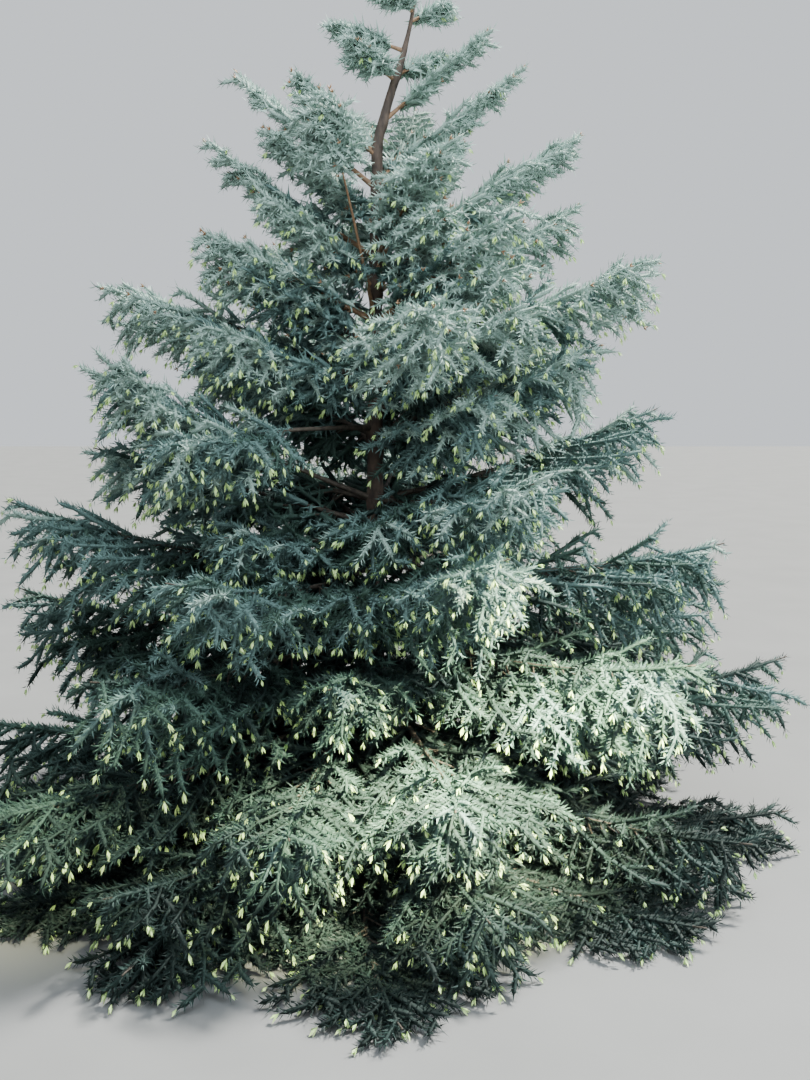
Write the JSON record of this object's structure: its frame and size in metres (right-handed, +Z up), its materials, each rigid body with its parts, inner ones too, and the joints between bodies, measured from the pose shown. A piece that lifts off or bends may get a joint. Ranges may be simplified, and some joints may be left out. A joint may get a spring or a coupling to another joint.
{
  "type": "engelmann spruce",
  "caption": "Young open-grown spruce, with tiers of drooping blue-green sprays from the ground to a kinked leader, and pale new growth.",
  "frame": {"origin": "middle of the trunk's flat cut at ground level", "axes": "+Z up the trunk, -Y towards the side seen in the picture, +X to its right"},
  "size_m": [3.014, 2.882, 3.13],
  "materials": {
    "trunk_bark": "rough scaly bark",
    "bough_bark": "thin rough bark with needle pegs",
    "foliage": "waxy blue-green needles"
  },
  "bodies": {
    "root": {"bough_5_2": "bough_bark", "bough_6_3": "bough_bark", "bough_7_1": "bough_bark", "bough_9_2": "bough_bark", "foliage_10_1": "foliage", "foliage_10_2": "foliage", "foliage_10_3": "foliage", "foliage_10_4": "foliage", "foliage_11_1": "foliage", "foliage_11_2": "foliage", "foliage_11_3": "foliage", "foliage_12_1": "foliage", "foliage_13_1": "foliage", "foliage_1_1": "foliage", "foliage_1_2": "foliage", "foliage_1_3": "foliage", "foliage_1_4": "foliage", "foliage_1_5": "foliage", "foliage_1_6": "foliage", "foliage_1_7": "foliage", "foliage_2_1": "foliage", "foliage_2_2": "foliage", "foliage_2_3": "foliage", "foliage_2_4": "foliage", "foliage_2_5": "foliage", "foliage_2_6": "foliage", "foliage_3_1": "foliage", "foliage_3_2": "foliage", "foliage_3_3": "foliage", "foliage_3_4": "foliage", "foliage_3_5": "foliage", "foliage_3_6": "foliage", "foliage_4_1": "foliage", "foliage_4_2": "foliage", "foliage_4_3": "foliage", "foliage_4_4": "foliage", "foliage_4_5": "foliage", "foliage_5_1": "foliage", "foliage_5_2": "foliage", "foliage_5_3": "foliage", "foliage_5_4": "foliage", "foliage_5_5": "foliage", "foliage_5_6": "foliage", "foliage_6_1": "foliage", "foliage_6_2": "foliage", "foliage_6_3": "foliage", "foliage_6_4": "foliage", "foliage_6_5": "foliage", "foliage_7_1": "foliage", "foliage_8_1": "foliage", "foliage_8_2": "foliage", "foliage_8_3": "foliage", "foliage_8_4": "foliage", "foliage_8_5": "foliage", "foliage_9_1": "foliage", "foliage_9_2": "foliage", "foliage_9_3": "foliage", "foliage_9_4": "foliage", "foliage_9_5": "foliage", "trunk": "trunk_bark"}
  },
  "joints": []
}
